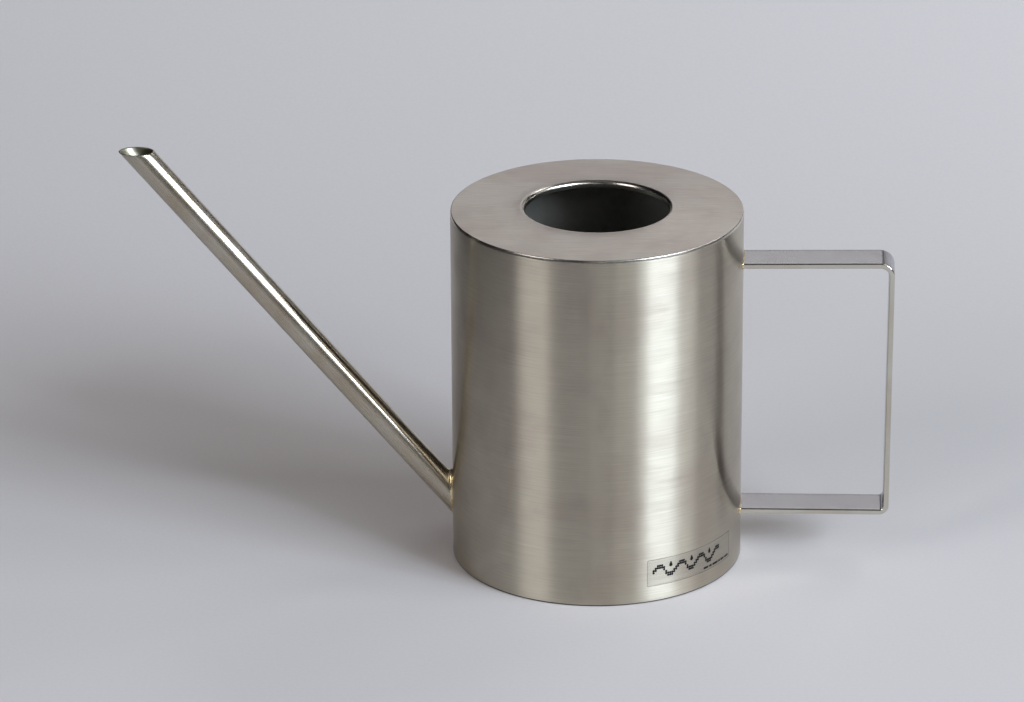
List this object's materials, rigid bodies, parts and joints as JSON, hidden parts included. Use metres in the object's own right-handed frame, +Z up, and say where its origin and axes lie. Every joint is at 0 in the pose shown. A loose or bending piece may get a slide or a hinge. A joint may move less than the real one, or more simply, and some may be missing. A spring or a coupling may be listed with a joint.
{
  "type": "watering can",
  "caption": "Slim cylindrical indoor watering can in brushed stainless steel with a round top opening, a long straight slanted pouring tube and a flat strap loop handle.",
  "frame": {"origin": "centre of the flat base, on the surface that the can stands on", "axes": "+Z up through the round mouth, +X towards the handle with the spout towards -X, +Y towards the back of the can, away from the label"},
  "size_m": [0.2855, 0.108, 0.156],
  "materials": {
    "brushed_can_steel": "satin, brushed round the can",
    "brushed_ring_steel": "fine satin, polished at the rim and lip",
    "inner_steel": "mill finish, dull",
    "drawn_tube_steel": "bright, brushed along the tube",
    "flat_bar_steel": "satin with bright rounded edges",
    "silver_braze": "bright, pale gold",
    "clear_film": null
  },
  "bodies": {
    "root": {"body_wall": "brushed_can_steel", "top_ring": "brushed_ring_steel", "base_plate": "inner_steel", "spout_tube": "drawn_tube_steel", "spout_braze": "silver_braze", "handle_strap": "flat_bar_steel", "upper_arm_braze": "silver_braze", "lower_arm_braze": "silver_braze", "label_film": "clear_film"}
  },
  "joints": []
}
